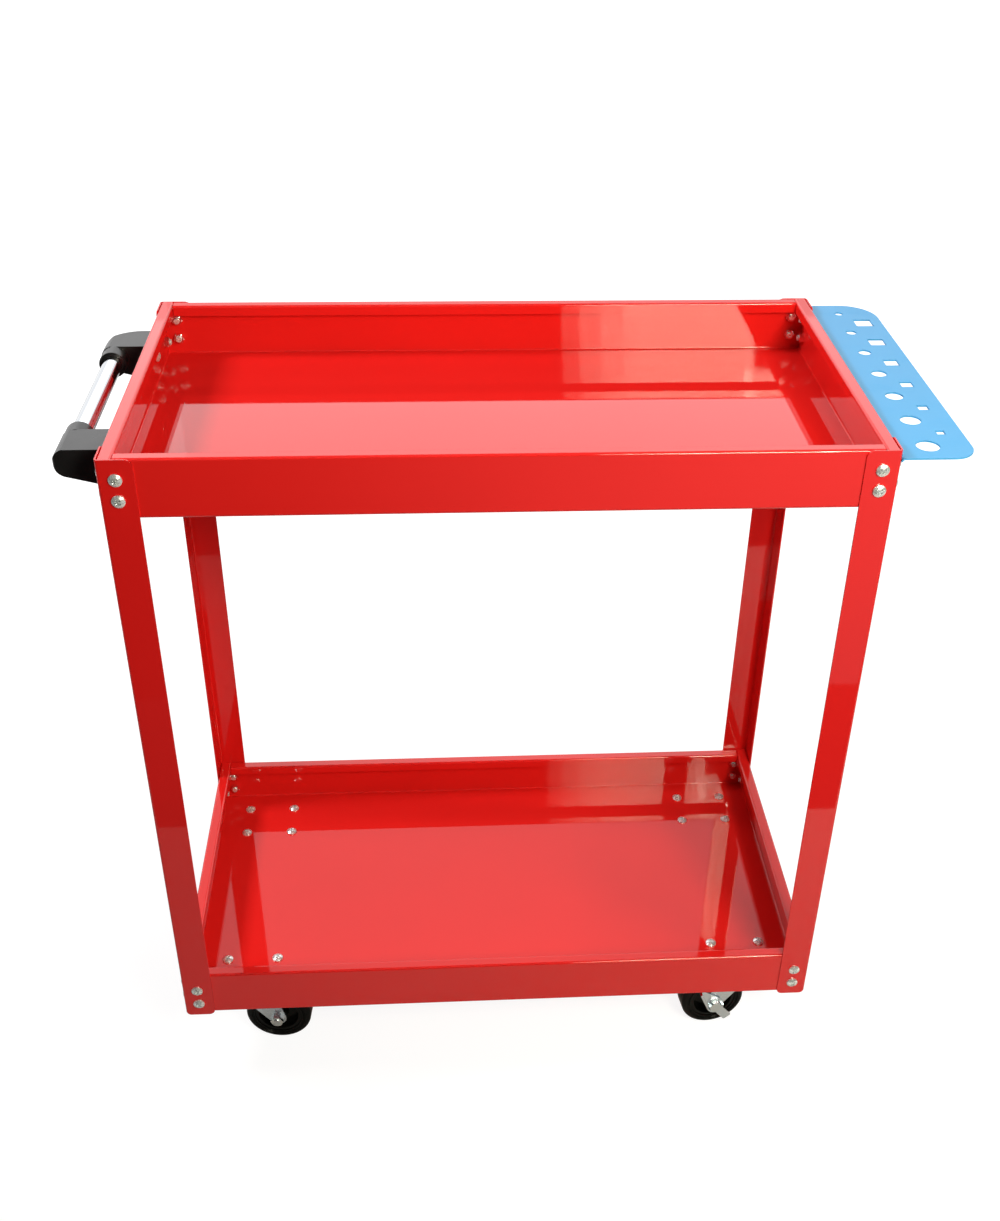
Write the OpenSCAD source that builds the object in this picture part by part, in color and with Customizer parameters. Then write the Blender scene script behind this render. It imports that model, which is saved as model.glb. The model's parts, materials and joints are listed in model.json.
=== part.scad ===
// Two-tier tool cart: two folded sheet trays between four angle legs, on four swivel casters.
// Millimetres. +X is the end with the tool plate, -Y is the front, +Z is up.
// The origin is on the floor, below the middle of the cart's whole length and width.

/* [Cart] */
// Length over the corner legs
cart_length = 700; // [600:5:900]
// Width over the corner legs
cart_width = 372; // [340:2:520]
// Height from the floor to the top of the legs
cart_height = 780; // [700:5:950]

/* [Corner legs] */
// Width of each flange of a corner leg
leg_flange = 32; // [28:1:42]
// Sheet thickness of the legs
leg_sheet = 1.5; // [1.2:0.1:2]
// Outside radius of the bend along a leg
leg_bend = 3; // [2.5:0.1:4]
// Rounding of a leg's corners: the flange corners at both ends and the bend at the foot
leg_corner_r = 6.5; // [2:0.5:8]
// How far a leg reaches below the lower tray
leg_foot = 2; // [1:0.5:8]

/* [Trays] */
// Height of a tray from its underside to its rim
tray_depth = 58; // [50:1:80]
// Sheet thickness of the trays
tray_sheet = 1.2; // [1:0.1:1.6]
// Outside radius of the bend between floor and walls
floor_bend = 3; // [2.5:0.5:6]
// Width of the folded rim, measured from the wall's outer face
rim_width = 13; // [11:0.5:18]
// Depth of the lip that the rim is turned down to
rim_lip = 11; // [6:0.5:12]
// Outside radius of the rim's two bends
rim_bend = 2.5; // [2:0.1:3.5]
// Gap of the butt seams between the end rims and the long rims
seam_gap = 0.4; // [0.2:0.1:1]

/* [Leg screws] */
// Shank diameter of the leg, caster and handle screws
screw_d = 6; // [5:0.5:6]
// Diameter of their pan heads
screw_head_d = 12; // [10:0.5:13]
// Height of a pan head
screw_head_h = 3.8; // [3:0.1:4.5]
// Width of a slot of the cross recess
recess_slot = 1.3; // [0.8:0.1:2]
// Length of a slot of the cross recess
recess_length = 6.4; // [4:0.2:8]
// Depth of the cross recess
recess_depth = 2.2; // [1:0.1:2.6]
// Width across the flats of the nuts
nut_flats = 10; // [9:0.5:11]
// Thickness of the nuts
nut_height = 5; // [4:0.5:6]
// How far a screw reaches past its nut
screw_tip = 1.6; // [0.5:0.1:2.5]
// First screw below the top of a leg
screw_from_top = 19; // [18:0.5:24]
// First screw above the lower end of a leg
screw_from_foot = 18; // [15:0.5:24]
// Distance between the two screws that hold a tray to a flange
screw_pitch = 20.5; // [15:0.5:22]

/* [Handle] */
// Diameter of the handle tube
tube_d = 19; // [16:0.5:22]
// Wall of the handle tube
tube_wall = 1.2; // [0.8:0.1:2]
// From the end wall of the tray to the tube's axis
tube_reach = 36.5; // [32:0.5:50]
// Depth of the tube's axis below the rim
tube_drop = 27; // [24:0.5:32]
// Free length of tube between the two sockets
tube_span = 160; // [120:2:180]
// Depth of a socket
socket_depth = 30; // [20:1:35]
// Radius of a socket's nose
nose_r = 14; // [13:0.5:16]
// Height of a bracket's flat top above the tube's axis
deck_rise = 13.2; // [12.4:0.1:13.6]
// Length of the round collar in front of a bracket's foot
collar_length = 16; // [8:1:24]
// Width of a bracket's foot along the wall
foot_width = 42; // [34:1:46]
// Depth of a bracket's foot below the tube's axis
foot_drop = 24; // [20:0.5:28]
// Rounding of the front bracket's outer shoulder
front_shoulder_r = 4; // [2:1:20]
// Rounding of the rear bracket's outer shoulder
rear_shoulder_r = 38; // [2:1:40]
// Depth of the handle screw below the tube's axis
handle_screw_drop = 6; // [3:0.5:9]
// Depth of the screw hole in a bracket's foot
bracket_hole_depth = 15; // [12:0.5:18]

/* [Tool plate] */
// Reach of the tool plate beyond the legs
plate_reach = 71; // [64:1:90]
// Width of the tool plate
plate_width = 370; // [334:2:520]
// Sheet thickness of the tool plate
plate_sheet = 1.5; // [1.2:0.1:2]
// Depth of the plate's top below the rim
plate_drop = 8.5; // [6:0.5:12]
// Height of the flange that is screwed to the legs
plate_flange = 42; // [40:1:48]
// How far the flange's ends lie inside the plate's ends
flange_setback = 7; // [0:0.5:8]
// Outside radius of the plate's bend
plate_bend = 3.5; // [3:0.1:5]
// Outer corner radius at the front
plate_front_r = 22; // [8:1:30]
// Outer corner radius at the rear
plate_rear_r = 36; // [8:1:40]
// Smallest round hole
round_min_d = 9; // [6:0.5:12]
// Largest round hole
round_max_d = 22; // [14:0.5:24]
// Number of round holes
round_count = 7; // [3:1:7]
// Smallest square hole
square_min = 8; // [6:0.5:10]
// Largest square hole
square_max = 18.5; // [12:0.5:19]
// Spacing of the holes in each row
hole_pitch = 53.5; // [40:0.5:54]
// From the legs to the row of round holes
round_row = 30.7; // [26:0.5:32]
// From the legs to the row of square holes
square_row = 50.7; // [48:0.5:53]

/* [Casters] */
// Diameter of the wheels
wheel_d = 75; // [65:1:76]
// Width of the tyres
tyre_width = 24; // [20:1:26]
// From a caster's swivel axis to its wheel's axis
trail = 29.5; // [27:0.5:34]
// Overall height of a caster
caster_height = 91; // [90:1:110]
// From the middle of the cart to the swivel axes, lengthwise
caster_x = 283.8; // [230:1:400]
// From the middle of the cart to the swivel axes, crosswise
caster_y = 131.5; // [100:1:220]
// Length of a caster's mounting plate
mount_length = 74; // [72:1:84]
// Width of a caster's mounting plate
mount_width = 62; // [60:1:70]
// Thickness of a caster's mounting plate
mount_sheet = 2.5; // [2:0.1:3]
// Lengthwise spacing of a caster's screws
mount_pitch_x = 57; // [54:1:60]
// Crosswise spacing of a caster's screws
mount_pitch_y = 45; // [43:1:48]
// Sheet thickness of the forks
fork_sheet = 2.5; // [2:0.1:3]
// Gap between a wheel's top and its fork
crown_gap = 3; // [2:0.5:5]
// Radius of the fork's lower end round the axle
fork_end_r = 10; // [8.5:0.5:12]
// Radius of the round crown round the kingpin
crown_r = 25; // [23:0.5:26]
// Diameter of the bearing balls
ball_d = 5; // [4:0.5:5.5]
// Radius of the ring of balls
ball_ring_r = 16.5; // [16:0.5:17]
// Number of balls in a ring
ball_count = 16; // [8:1:18]
// Diameter of the kingpin
kingpin_d = 10; // [8:0.5:11]
// Diameter of the axle bolt
axle_d = 8; // [6:0.5:8]
// Outer diameter of the sleeve that the wheel turns on
sleeve_d = 12; // [10.5:0.5:14]
// Direction of the front left wheel from its kingpin, in degrees from +X
front_left_heading = -5; // [-180:1:180]
// Direction of the front right wheel from its kingpin
front_right_heading = 187.5; // [0:0.5:360]
// Direction of the rear left wheel from its kingpin
rear_left_heading = 4; // [-180:1:180]
// Direction of the rear right wheel from its kingpin
rear_right_heading = 8; // [-180:1:180]

/* [Brake levers] */
// Sheet thickness of a brake lever
lever_sheet = 2; // [1.5:0.1:2.5]
// From the axle to the end of the upper arm
lever_upper = 28; // [22:0.5:30]
// Width of the upper arm at its end
lever_upper_end = 6; // [5:0.5:9]
// From the axle to the end of the lower arm
lever_lower = 27; // [22:0.5:29]
// Width of the lower arm
lever_lower_width = 11; // [8:0.5:13]
// Height of the rim round the eye and along the upper arm, from the lever's inner face
lever_rim = 5.5; // [4.5:0.5:8]
// Slope of a released lever above the horizontal
lever_slope = 52; // [35:1:60]

/* [Fits] */
// Radial clearance of a screw in its hole
screw_clear = 0.3; // [0.1:0.05:0.5]
// Radial clearance of a thread in its nut
thread_clear = 0.05; // [0.02:0.01:0.1]
// Radial clearance of the tube in its sockets
socket_clear = 0.1; // [0.05:0.05:0.3]
// Gap between the tube's end and the bottom of its socket
socket_end_gap = 0.3; // [0.1:0.1:1]
// Radial running clearance of kingpins, wheels and levers
running_clear = 0.08; // [0.04:0.01:0.1]
// Clearance between balls and races
ball_clear = 0.06; // [0.03:0.01:0.1]
// Side gap between moving pieces and their neighbours
side_gap = 0.3; // [0.2:0.05:0.5]

/* [Hidden] */
$fn = 48;
eps = 0.01;
// How far straight outlines cut into the rounds that they run into
tangent_bite = 0.05;

// Levels above the floor
rim_top = cart_height;
lower_underside = caster_height;
lower_rim = lower_underside + tray_depth;
upper_underside = rim_top - tray_depth;
leg_end = lower_underside - leg_foot;
tube_level = rim_top - tube_drop;
plate_top = rim_top - plate_drop;

// The trays fill the space inside the legs
tray_length = cart_length - 2 * leg_sheet;
tray_width = cart_width - 2 * leg_sheet;
tray_corner_r = leg_bend - leg_sheet + 0.5;
leg_x = cart_length / 2;
leg_y = cart_width / 2;
wall_x = tray_length / 2;

// The origin lies below the middle of the whole length, from the handle's nose to the tool plate
handle_end = wall_x + tube_reach + nose_r;
plate_end = leg_x + plate_reach;
shift_x = (handle_end - plate_end) / 2;

// Screws and nuts
screw_inset = leg_flange / 2;
shank_hole_r = screw_d / 2 + screw_clear;
leg_grip = leg_sheet + tray_sheet;
leg_screw_levels = [rim_top - screw_from_top, rim_top - screw_from_top - screw_pitch];
foot_screw_levels = [leg_end + screw_from_foot, leg_end + screw_from_foot + screw_pitch];
head_dome_h = screw_head_h * 0.6;
head_dome_r = (pow(screw_head_d / 2, 2) + pow(head_dome_h, 2)) / (2 * head_dome_h);

// Handle
collar_r = nose_r - 0.6;
socket_lip_y = tube_span / 2;
foot_y = socket_lip_y + collar_length;
shoulder_y = foot_y + foot_width;
socket_floor_y = socket_lip_y + socket_depth;
handle_screw_y = foot_y + foot_width / 2;
handle_screw_level = tube_level - handle_screw_drop;
handle_screw_length = tray_sheet + bracket_hole_depth - 2;

// Tool plate
square_count = round_count - 1;

// Casters, measured from the floor at the swivel axis
axle_level = wheel_d / 2;
mount_under = caster_height - mount_sheet;
crown_under = wheel_d + crown_gap;
crown_top = crown_under + fork_sheet;
ball_level = (crown_top + mount_under) / 2 - 0.8;
race_step = ball_d / 4;
lower_race_top = ball_level - race_step;
upper_race_under = ball_level + race_step;
upper_race_r = ball_ring_r + ball_d / 2 + 1.6;
race_bore_r = ball_ring_r - ball_d / 2 - 3;
race_wall_in = upper_race_r + 2 * side_gap;
race_wall_top = mount_under - 3.2;
hub_half = tyre_width / 2 + 1.4;
fork_inner = hub_half + side_gap;
fork_outer = fork_inner + fork_sheet;
fork_bend = 4;
crown_front = trail - 2;
crown_back = 18.5;
sleeve_half = fork_inner;
axle_head_h = 5.3;
axle_head_flats = 13;
axle_nut_h = 6.5;
axle_washer = lever_sheet + 2 * side_gap;
axle_hole_r = axle_d / 2 + 0.1;
kingpin_r = kingpin_d / 2;
kingpin_head_r = kingpin_r + 3.4;
kingpin_head_h = 2.2;
kingpin_nut_h = 5.5;
kingpin_nut_flats = 16;
kingpin_nut_top = crown_under - 0.4;
kingpin_end = kingpin_nut_top - kingpin_nut_h - 0.5;

// Wheels
tyre_in_r = wheel_d / 2 - 10.5;
rim_in_r = tyre_in_r - 4;
hub_r = sleeve_d / 2 + 5;
web_half = 3;
rim_half = tyre_width / 2 - 1;
tread_round = 4;
groove_r = 1.1;

// Brake levers
lever_in = fork_outer + side_gap;
lever_out = lever_in + lever_sheet;
lever_bowl_r = axle_head_flats / sqrt(3) + 2 * side_gap;
lever_eye_r = lever_bowl_r + lever_sheet;
lever_end_r = 2;

CASTERS = [
    [-caster_x, -caster_y, front_left_heading],
    [caster_x, -caster_y, front_right_heading],
    [-caster_x, caster_y, rear_left_heading],
    [caster_x, caster_y, rear_right_heading]
];

RED = [0.80, 0.09, 0.09];
BLUE = [0.45, 0.76, 0.95];
ZINC = [0.78, 0.80, 0.82];
CHROME = [0.88, 0.89, 0.91];
DARK = [0.20, 0.20, 0.22];
BLACK = [0.06, 0.06, 0.06];

// Point where the tangent from point p touches a circle of radius r at the origin
function tangent_point(p, r, side) =
    let (a = atan2(p[1], p[0]) + side * acos(r / norm(p)))
    [r * cos(a), r * sin(a)];

// Quarter of a sheet bend in the quadrant +x +y, centred at the origin
module bend_quarter(r_out, sheet) {
    intersection() {
        difference() {
            circle(r = r_out);
            circle(r = r_out - sheet);
        }
        square([r_out, r_out]);
    }
}

// Rectangle with its two lower corners rounded
module round_bottom(size, r) {
    translate([0, r]) square([size[0], size[1] - r]);
    translate([r, 0]) square([size[0] - 2 * r, r]);
    for (x = [r, size[0] - r]) translate([x, r]) circle(r = r);
}

// Centred rectangle with four corner radii: +x+y, -x+y, -x-y, +x-y
module round_plan(size, radii) {
    signs = [[1, 1], [-1, 1], [-1, -1], [1, -1]];
    difference() {
        square(size, center = true);
        for (i = [0:3])
            corner_waste(signs[i], [signs[i][0] * size[0] / 2, signs[i][1] * size[1] / 2], radii[i]);
    }
}

// What rounding takes from a corner that points the way of the two signs
module corner_waste(signs, corner, r) {
    translate(corner)
        mirror([signs[0] > 0 ? 0 : 1, 0])
            mirror([0, signs[1] > 0 ? 0 : 1])
                translate([-r, -r])
                    difference() {
                        square([r + 1, r + 1]);
                        circle(r = r);
                    }
}

// A tray: folded box with a rim turned inwards and its lip turned down
module tray_box(grow, base_r, top) {
    intersection() {
        translate([0, (tray_width + grow) / 2, 0])
            rotate([90, 0, 0])
                linear_extrude(tray_width + grow)
                    translate([-(tray_length + grow) / 2, 0])
                        round_bottom([tray_length + grow, top], base_r);
        translate([-(tray_length + grow) / 2, 0, 0])
            rotate([90, 0, 90])
                linear_extrude(tray_length + grow)
                    translate([-(tray_width + grow) / 2, 0])
                        round_bottom([tray_width + grow, top], base_r);
    }
}

// Section of a rim: x runs inwards from the wall's outer face, y is up from the rim's top
module rim_section() {
    b = rim_bend;
    t = tray_sheet;
    translate([b, -b]) mirror([1, 0]) bend_quarter(b, t);
    translate([b, -t]) square([rim_width - 2 * b, t]);
    translate([rim_width - b, -b]) bend_quarter(b, t);
    translate([rim_width - t, -rim_lip]) square([t, rim_lip - b]);
    translate([0, -b - 2]) square([t, 2]);
}

module rims() {
    long_run = tray_length - 2 * (rim_width + seam_gap);
    for (side = [0, 1]) mirror([side, 0, 0])
        translate([-tray_length / 2, tray_width / 2, tray_depth])
            rotate([90, 0, 0])
                linear_extrude(tray_width)
                    rim_section();
    for (side = [0, 1]) mirror([0, side, 0])
        translate([-long_run / 2, -tray_width / 2, tray_depth])
            rotate([90, 0, 90])
                linear_extrude(long_run)
                    rim_section();
    for (sx = [-1, 1], sy = [-1, 1])
        translate([
            sx > 0 ? tray_length / 2 - rim_width : -tray_length / 2 + rim_bend,
            sy > 0 ? tray_width / 2 - tray_sheet : -tray_width / 2,
            tray_depth - rim_bend - 2
        ])
            cube([rim_width - rim_bend, tray_sheet, rim_bend + 2 - tray_sheet + eps]);
}

module tray_blank() {
    intersection() {
        union() {
            difference() {
                tray_box(0, floor_bend, tray_depth - rim_bend);
                translate([0, 0, tray_sheet])
                    tray_box(-2 * tray_sheet, floor_bend - tray_sheet, tray_depth);
            }
            rims();
        }
        linear_extrude(tray_depth)
            round_plan([tray_length, tray_width], [for (i = [0:3]) tray_corner_r]);
    }
}

// Places children at each screw of a set of levels, with +Z pointing out of the leg
module at_end_screws(levels, sides = [-1, 1]) {
    for (z = levels, sx = sides, sy = [-1, 1])
        translate([sx * leg_x, sy * (leg_y - screw_inset), z])
            rotate([0, 90 * sx, 0])
                children();
}

module at_long_screws(levels) {
    for (z = levels, sx = [-1, 1], sy = [-1, 1])
        translate([sx * (leg_x - screw_inset), sy * leg_y, z])
            rotate([-90 * sy, 0, 0])
                children();
}

module leg_screw_holes(levels) {
    at_end_screws(levels) translate([0, 0, -10]) cylinder(r = shank_hole_r, h = 20);
    at_long_screws(levels) translate([0, 0, -10]) cylinder(r = shank_hole_r, h = 20);
}

// Places children at the four screws of every caster
module at_caster_screws(level) {
    for (c = CASTERS, sx = [-1, 1], sy = [-1, 1])
        translate([c[0] + sx * mount_pitch_x / 2, c[1] + sy * mount_pitch_y / 2, level])
            children();
}

// Places children at the two handle screws, with +Z pointing into the tray
module at_handle_screws() {
    for (sy = [-1, 1])
        translate([-wall_x + tray_sheet, sy * handle_screw_y, handle_screw_level])
            rotate([0, 90, 0])
                children();
}

module upper_tray() {
    color(RED) difference() {
        translate([0, 0, upper_underside]) tray_blank();
        leg_screw_holes(leg_screw_levels);
        at_handle_screws() translate([0, 0, -10]) cylinder(r = shank_hole_r, h = 20);
    }
}

module lower_tray() {
    color(RED) difference() {
        translate([0, 0, lower_underside]) tray_blank();
        leg_screw_holes(foot_screw_levels);
        at_caster_screws(lower_underside - 10) cylinder(r = shank_hole_r, h = 20);
    }
}

// Angle section with its outer corner at the origin and its flanges along -x and -y
module leg_section() {
    run = leg_flange - leg_bend;
    translate([-leg_flange, -leg_sheet]) square([run, leg_sheet]);
    translate([-leg_sheet, -leg_flange]) square([leg_sheet, run]);
    translate([-leg_bend, -leg_bend]) bend_quarter(leg_bend, leg_sheet);
}

// Waste at a flange's free corners, at both ends of a leg
module flange_corner_waste() {
    leg_length = rim_top - leg_end;
    for (end = [0, 1])
        translate([-leg_flange, -leg_sheet - 1, end * leg_length])
            rotate([-90, 0, 0])
                linear_extrude(leg_sheet + 2)
                    corner_waste([-1, end > 0 ? -1 : 1], [0, 0], leg_corner_r);
}

// Waste where the foot's two lower edges meet at the bend
module bend_corner_waste() {
    intersection() {
        foot_edge_waste();
        mirror([1, -1, 0]) foot_edge_waste();
    }
}

module foot_edge_waste() {
    translate([0, 1, 0]) rotate([90, 0, 0])
        linear_extrude(leg_corner_r + 2)
            corner_waste([1, -1], [0, 0], leg_corner_r);
}

module leg(sx, sy) {
    color(RED) difference() {
        mirror([sx > 0 ? 0 : 1, 0, 0]) mirror([0, sy > 0 ? 0 : 1, 0])
            translate([leg_x, leg_y, leg_end]) difference() {
                linear_extrude(rim_top - leg_end) leg_section();
                flange_corner_waste();
                mirror([1, -1, 0]) flange_corner_waste();
                bend_corner_waste();
            }
        leg_screw_holes(leg_screw_levels);
        leg_screw_holes(foot_screw_levels);
    }
}

// Pan head screw: the head stands on z = 0 and the shank hangs below
module pan_screw(shank) {
    difference() {
        union() {
            rotate_extrude()
                intersection() {
                    square([screw_head_d / 2, screw_head_h]);
                    translate([0, screw_head_h - head_dome_r]) circle(r = head_dome_r, $fn = 96);
                }
            translate([0, 0, -shank]) cylinder(d = screw_d, h = shank + eps);
        }
        for (a = [45, 135]) rotate([0, 0, a])
            translate([-recess_length / 2, -recess_slot / 2, screw_head_h - recess_depth])
                cube([recess_length, recess_slot, recess_depth + 1]);
    }
}

// Solid hexagon that stands on z = 0, with its corners chamfered at both ends
module hex_blank(flats, height) {
    across = flats / sqrt(3);
    chamfer = (across - flats / 2) * 0.6;
    intersection() {
        cylinder(r = across, h = height, $fn = 6);
        rotate_extrude() polygon([
            [0, 0], [flats / 2, 0], [across, chamfer],
            [across, height - chamfer], [flats / 2, height], [0, height]
        ]);
    }
}

module hex_nut(flats, height, bore_r) {
    difference() {
        hex_blank(flats, height);
        translate([0, 0, -1]) cylinder(r = bore_r, h = height + 2);
    }
}

module upper_tray_screws() {
    length = leg_grip + nut_height + screw_tip;
    color(ZINC) {
        at_long_screws(leg_screw_levels) pan_screw(length);
        at_end_screws(leg_screw_levels, [-1]) pan_screw(length);
        at_end_screws(leg_screw_levels, [1]) translate([0, 0, plate_sheet]) pan_screw(length + plate_sheet);
    }
}

module lower_tray_screws() {
    length = leg_grip + nut_height + screw_tip;
    color(ZINC) {
        at_long_screws(foot_screw_levels) pan_screw(length);
        at_end_screws(foot_screw_levels) pan_screw(length);
    }
}

module leg_nut() {
    translate([0, 0, -leg_grip - nut_height])
        hex_nut(nut_flats, nut_height, screw_d / 2 + thread_clear);
}

module tray_nuts(levels) {
    color(ZINC) {
        at_long_screws(levels) leg_nut();
        at_end_screws(levels) leg_nut();
    }
}

// A bracket's foot: a round nose about the tube's axis that runs back to a deeper foot at the wall
module bracket_body() {
    low = [-tube_reach, -foot_drop];
    touch = tangent_point(low, nose_r - tangent_bite, 1);
    translate([tube_reach, shoulder_y, 0]) rotate([90, 0, 0]) difference() {
        union() {
            cylinder(r = nose_r, h = foot_width, $fn = 96);
            linear_extrude(foot_width)
                polygon([[-tube_reach, nose_r + 1], [0, nose_r + 1], [0, 0], touch, low]);
        }
        translate([-tube_reach - 1, deck_rise, -1])
            cube([tube_reach + nose_r + 2, nose_r, foot_width + 2]);
    }
}

// Handle bracket at the rear, with its foot on the wall at x = 0 and the tube's axis at z = 0
module bracket(shoulder_r) {
    depth = tube_reach + nose_r;
    difference() {
        union() {
            intersection() {
                bracket_body();
                translate([depth / 2, foot_y + foot_width / 2, -foot_drop - 1])
                    linear_extrude(foot_drop + nose_r + 2)
                        round_plan([depth, foot_width], [shoulder_r, 0.5, 0.5, 0.5]);
            }
            translate([tube_reach, foot_y + 1, 0]) rotate([90, 0, 0])
                cylinder(r = collar_r, h = collar_length + 1, $fn = 96);
        }
        translate([tube_reach, socket_floor_y, 0]) rotate([90, 0, 0])
            cylinder(r = tube_d / 2 + socket_clear, h = socket_depth + 1, $fn = 96);
        translate([-1, handle_screw_y, -handle_screw_drop]) rotate([0, 90, 0])
            cylinder(r = screw_d / 2 + thread_clear, h = bracket_hole_depth + 1);
    }
}

// side is -1 for the front bracket and 1 for the rear one
module handle_bracket(side, shoulder_r) {
    color(DARK)
        translate([-wall_x, 0, tube_level])
            mirror([1, 0, 0])
                mirror([0, side > 0 ? 0 : 1, 0])
                    bracket(shoulder_r);
}

module handle_tube() {
    half = socket_floor_y - socket_end_gap;
    color(CHROME)
        translate([-wall_x - tube_reach, half, tube_level])
            rotate([90, 0, 0])
                difference() {
                    cylinder(d = tube_d, h = 2 * half, $fn = 96);
                    translate([0, 0, -1]) cylinder(d = tube_d - 2 * tube_wall, h = 2 * half + 2, $fn = 96);
                }
}

module handle_screws() {
    color(ZINC) at_handle_screws() pan_screw(handle_screw_length);
}

// Section of the tool plate: x runs outwards from the legs, y is up from its top face
module plate_section() {
    b = plate_bend;
    translate([b, -b]) mirror([1, 0]) bend_quarter(b, plate_sheet);
    translate([b, -plate_sheet]) square([plate_reach - b, plate_sheet]);
    translate([0, -plate_flange]) square([plate_sheet, plate_flange - b]);
}

function round_hole_d(i) = round_min_d + (round_max_d - round_min_d) * i / (round_count - 1);
function square_hole(i) = square_max - (square_max - square_min) * i / max(1, square_count - 1);
function hole_y(i, count) = ((count - 1) / 2 - i) * hole_pitch;

// What is cut from an end of the plate's flange, seen along the cart: the setback and the corner's rounding
module flange_end_waste(side) {
    end = plate_width / 2 - flange_setback;
    if (flange_setback > 0)
        mirror([side > 0 ? 0 : 1, 0])
            translate([end, -plate_flange - 1])
                square([flange_setback + 1, plate_flange + 1 - plate_bend]);
    corner_waste([side, -1], [side * end, -plate_flange], leg_corner_r);
}

module tool_plate() {
    color(BLUE) difference() {
        translate([leg_x, 0, plate_top]) difference() {
            intersection() {
                translate([0, plate_width / 2, 0]) rotate([90, 0, 0])
                    linear_extrude(plate_width) plate_section();
                translate([plate_reach / 2, 0, -plate_flange - 1]) linear_extrude(plate_flange + 2)
                    round_plan([plate_reach, plate_width], [plate_rear_r, 0.5, 0.5, plate_front_r]);
            }
            for (s = [-1, 1]) translate([-1, 0, 0]) rotate([90, 0, 90]) linear_extrude(plate_sheet + 2)
                flange_end_waste(s);
            for (i = [0:round_count - 1])
                translate([round_row, hole_y(i, round_count), -plate_sheet - 1])
                    cylinder(d = round_hole_d(i), h = plate_sheet + 2);
            for (i = [0:square_count - 1])
                translate([square_row, hole_y(i, square_count), 0])
                    cube([square_hole(i), square_hole(i), 2 * plate_sheet + 2], center = true);
        }
        leg_screw_holes(leg_screw_levels);
    }
}

// Puts a caster's own frame, with its wheel along +x, in its place under the lower tray
module place_caster(i) {
    translate([CASTERS[i][0], CASTERS[i][1], 0])
        rotate([0, 0, CASTERS[i][2]])
            children();
}

module race_groove() {
    rotate_extrude()
        translate([ball_ring_r, ball_level]) circle(r = ball_d / 2 + ball_clear, $fn = 32);
}

// The mounting plate lies square to the cart, whatever way its wheel points
module caster_plate(i) {
    color(ZINC) translate([CASTERS[i][0], CASTERS[i][1], 0]) difference() {
        union() {
            translate([0, 0, mount_under]) linear_extrude(mount_sheet)
                round_plan([mount_length, mount_width], [for (k = [0:3]) 5]);
            translate([0, 0, upper_race_under])
                cylinder(r = upper_race_r, h = mount_under - upper_race_under + eps, $fn = 64);
        }
        translate([0, 0, upper_race_under - 1])
            cylinder(r = race_bore_r, h = mount_under - upper_race_under + 1);
        cylinder(r = kingpin_r + running_clear, h = caster_height + 1);
        kingpin_head(running_clear);
        race_groove();
        for (sx = [-1, 1], sy = [-1, 1])
            translate([sx * mount_pitch_x / 2, sy * mount_pitch_y / 2, mount_under - 1])
                cylinder(r = shank_hole_r, h = mount_sheet + 2);
    }
}

module caster_screws() {
    length = tray_sheet + mount_sheet + nut_height + screw_tip;
    color(ZINC) at_caster_screws(lower_underside + tray_sheet) pan_screw(length);
}

module caster_nuts() {
    color(ZINC) at_caster_screws(mount_under - nut_height)
        hex_nut(nut_flats, nut_height, screw_d / 2 + thread_clear);
}

module kingpin_head(grow) {
    translate([0, 0, caster_height - kingpin_head_h])
        cylinder(r1 = kingpin_r + grow, r2 = kingpin_head_r + grow, h = kingpin_head_h + grow);
}

module kingpins() {
    color(ZINC) for (c = CASTERS) translate([c[0], c[1], 0]) intersection() {
        union() {
            translate([0, 0, kingpin_end]) cylinder(r = kingpin_r, h = caster_height - kingpin_end);
            kingpin_head(0);
        }
        cylinder(r = kingpin_head_r, h = caster_height);
    }
}

module kingpin_nuts() {
    color(ZINC) for (c = CASTERS) translate([c[0], c[1], kingpin_nut_top - kingpin_nut_h])
        hex_nut(kingpin_nut_flats, kingpin_nut_h, kingpin_r + thread_clear);
}

module swivel_balls() {
    color(ZINC) for (c = CASTERS, k = [0:ball_count - 1])
        translate([c[0], c[1], ball_level])
            rotate([0, 0, 360 * k / ball_count])
                translate([ball_ring_r, 0, 0])
                    sphere(d = ball_d, $fn = 24);
}

// Side outline of a fork: x along the wheel from the kingpin, y is up from the axle
module fork_profile() {
    top = crown_top - axle_level;
    back = [-crown_back - trail, top];
    front = [crown_front - trail, top];
    back_touch = tangent_point(back, fork_end_r - tangent_bite, 1);
    front_touch = tangent_point(front, fork_end_r - tangent_bite, -1);
    translate([trail, 0]) {
        circle(r = fork_end_r, $fn = 64);
        polygon([back, back_touch, [0, 0], front_touch, front]);
    }
}

// Cross-section of the fork's arch: x across the wheel, y is up from the axle
module fork_arch() {
    top = crown_top - axle_level;
    foot = fork_end_r + 1;
    difference() {
        translate([fork_outer, top]) rotate(180) round_bottom([2 * fork_outer, top + foot], fork_bend);
        translate([fork_inner, top - fork_sheet])
            rotate(180)
                round_bottom([2 * fork_inner, top + foot], fork_bend - fork_sheet);
    }
}

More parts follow.
